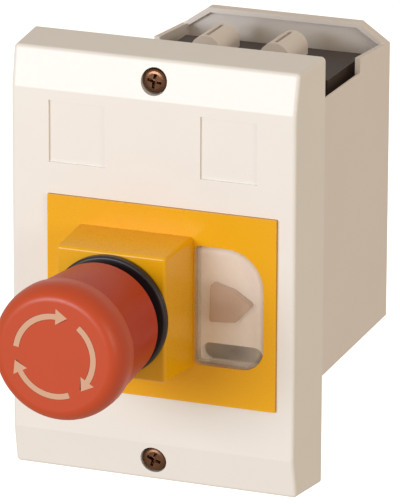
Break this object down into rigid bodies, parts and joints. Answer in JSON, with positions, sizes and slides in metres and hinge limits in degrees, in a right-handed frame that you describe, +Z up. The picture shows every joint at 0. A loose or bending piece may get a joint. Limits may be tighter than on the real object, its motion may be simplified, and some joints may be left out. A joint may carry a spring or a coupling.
{
  "type": "flush-mounted breaker enclosure with stop head",
  "caption": "Flush-mounting enclosure for a push-button motor-protection breaker, with a twist-to-release stop head on a yellow plate and a clear start window.",
  "frame": {"origin": "middle of the frame on the plane of the panel the enclosure is let into", "axes": "+X to the operator's right, +Y away from the operator into the wall, +Z up"},
  "size_m": [0.085, 0.16, 0.121],
  "materials": {
    "cover_plastic": "light grey-white moulded thermoplastic, satin",
    "yellow_plastic": "signal yellow moulded thermoplastic, semi-gloss",
    "red_plastic": "signal red moulded thermoplastic, semi-gloss",
    "arrow_plastic": "pale inlay, matt",
    "clear_membrane": "clear flexible window, glossy",
    "carrier_plastic": "light ivory moulded thermoplastic",
    "key_plastic": "grey-brown moulded thermoplastic",
    "collar_plastic": "blue-black glass-filled polyamide",
    "shaft_plastic": "natural acetal",
    "box_plastic": "light grey moulded thermoplastic, matt",
    "breaker_plastic": "dark brown-grey thermoset, matt",
    "shroud_plastic": "light grey moulded thermoplastic, matt",
    "dial_plastic": "dark grey moulded thermoplastic",
    "screw_steel": "cross-recessed pan head, zinc with yellow-brown passivation",
    "zinc_steel": "bright zinc plated",
    "spring_steel": "drawn spring wire",
    "clamp_brass": "pressed brass",
    "gasket_rubber": "moulded rubber"
  },
  "bodies": {
    "enclosure": {"front_cover": "cover_plastic", "yellow_plate": "yellow_plastic", "plate_gasket": "gasket_rubber", "peg_washers": "zinc_steel", "window_membrane": "clear_membrane", "key_carrier": "carrier_plastic", "collar_ring": "collar_plastic", "collar_seal": "gasket_rubber", "actuator_bush": "collar_plastic", "bush_nut": "collar_plastic", "return_spring": "spring_steel", "cover_screws": "screw_steel", "screw_seals": "gasket_rubber", "rear_box": "box_plastic", "din_rail": "zinc_steel", "rail_screws": "zinc_steel", "breaker_base": "breaker_plastic", "terminal_shroud": "shroud_plastic", "terminal_clamps": "clamp_brass", "terminal_screws": "zinc_steel", "breaker_cover": "breaker_plastic", "housing_screws": "zinc_steel", "stop_spring": "spring_steel", "start_spring": "spring_steel"},
    "stop_plunger": {"plunger_shaft": "shaft_plastic", "retaining_clip": "spring_steel"},
    "stop_head": {"mushroom_cap": "red_plastic", "cap_sleeve": "red_plastic", "cap_arrows": "arrow_plastic"},
    "stop_button": {"stop_button": "red_plastic"},
    "start_key": {"start_key": "key_plastic"},
    "start_button": {"start_button": "key_plastic"},
    "setting_dial": {"setting_dial": "dial_plastic"}
  },
  "joints": [
    {"name": "head_push", "type": "slide", "parent": "enclosure", "child": "stop_plunger", "axis": [0, 1, 0], "range_m": [0, 0.004], "deforming": ["return_spring"]},
    {"name": "head_twist", "type": "hinge", "parent": "stop_plunger", "child": "stop_head", "pos_m": [-0.0044, -0.07, -0.0064], "axis": [0, 1, 0], "range_deg": [0, 40], "stiffness_Nm_per_rad": 0.03, "springref_deg": -20.05},
    {"name": "stop_press", "type": "slide", "parent": "enclosure", "child": "stop_button", "axis": [0, 1, 0], "range_m": [0, 0.004], "deforming": ["stop_spring"]},
    {"name": "key_press", "type": "slide", "parent": "enclosure", "child": "start_key", "axis": [0, 1, 0], "range_m": [0, 0.0025], "stiffness_N_per_m": 300, "springref_m": -0.003},
    {"name": "start_press", "type": "slide", "parent": "enclosure", "child": "start_button", "axis": [0, 1, 0], "range_m": [0, 0.0025], "deforming": ["start_spring"]},
    {"name": "dial_turn", "type": "hinge", "parent": "enclosure", "child": "setting_dial", "pos_m": [0.006, -0.008, 0.015], "axis": [0, 1, 0], "range_deg": [0, 240]}
  ],
  "couplings": [
    {"joint": "stop_press", "follows": "head_push", "ratio": 1},
    {"joint": "start_press", "follows": "key_press", "ratio": 1}
  ]
}
